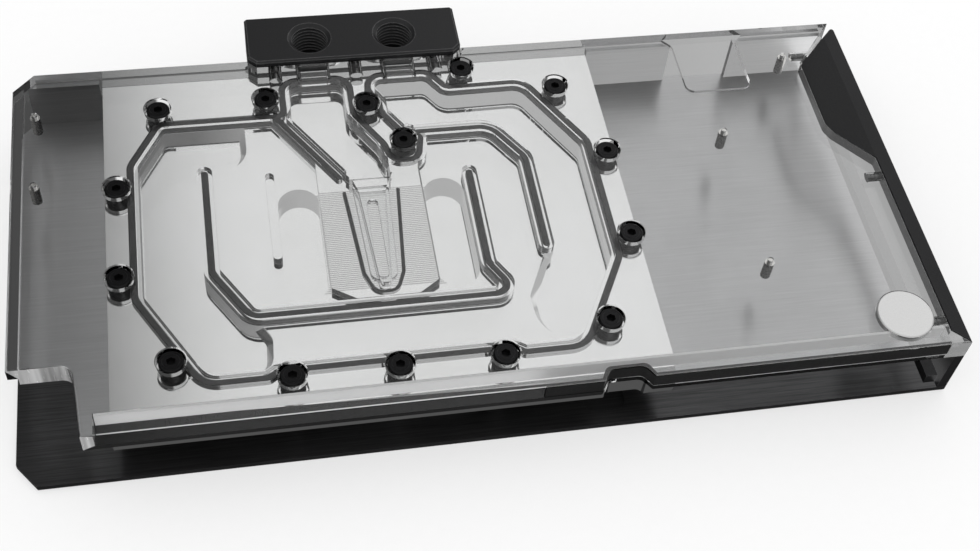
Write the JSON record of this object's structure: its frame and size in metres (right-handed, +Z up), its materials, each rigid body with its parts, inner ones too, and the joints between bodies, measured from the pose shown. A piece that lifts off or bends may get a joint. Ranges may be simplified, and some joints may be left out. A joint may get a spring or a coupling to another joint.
{
  "type": "liquid cooling cold plate",
  "caption": "Flat full-cover liquid cooling block: finned metal cold plate under a clear top with gasketed channels, two-port terminal, end cover and backplate.",
  "frame": {"origin": "centre of the footprint, on the underside of the backplate", "axes": "+X along the length towards the end cover, +Y from the front edge towards the terminal, +Z up out of the clear top"},
  "size_m": [0.269, 0.1496, 0.0272],
  "materials": {
    "clear": "clear polished acrylic",
    "nickel": "nickel-plated copper, satin milled",
    "black_aluminium": "black anodised, fine brushed",
    "acetal": "black, machined",
    "gasket": "black rubber cord",
    "black_steel": "black oxide",
    "plated_brass": "nickel-plated brass",
    "satin_disc": "satin, fine turned",
    "white_strip": "white, diffuse",
    "black_strip": "black, satin"
  },
  "bodies": {
    "root": {"backplate": "black_aluminium", "cold_plate": "nickel", "clear_top": "clear", "jet_plate": "clear", "main_gasket": "gasket", "inner_gasket": "gasket", "jet_gasket": "gasket", "terminal_block": "acetal", "terminal_seals": "gasket", "terminal_inserts": "plated_brass", "terminal_screws": "black_steel", "top_screws": "black_steel", "end_cover": "black_aluminium", "cover_inserts": "plated_brass", "cover_screws": "black_steel", "backplate_screws": "black_steel", "end_spacers": "plated_brass", "plate_spacers": "plated_brass", "badge_disc": "satin_disc", "light_strip": "white_strip", "light_shade": "black_strip"}
  },
  "joints": []
}
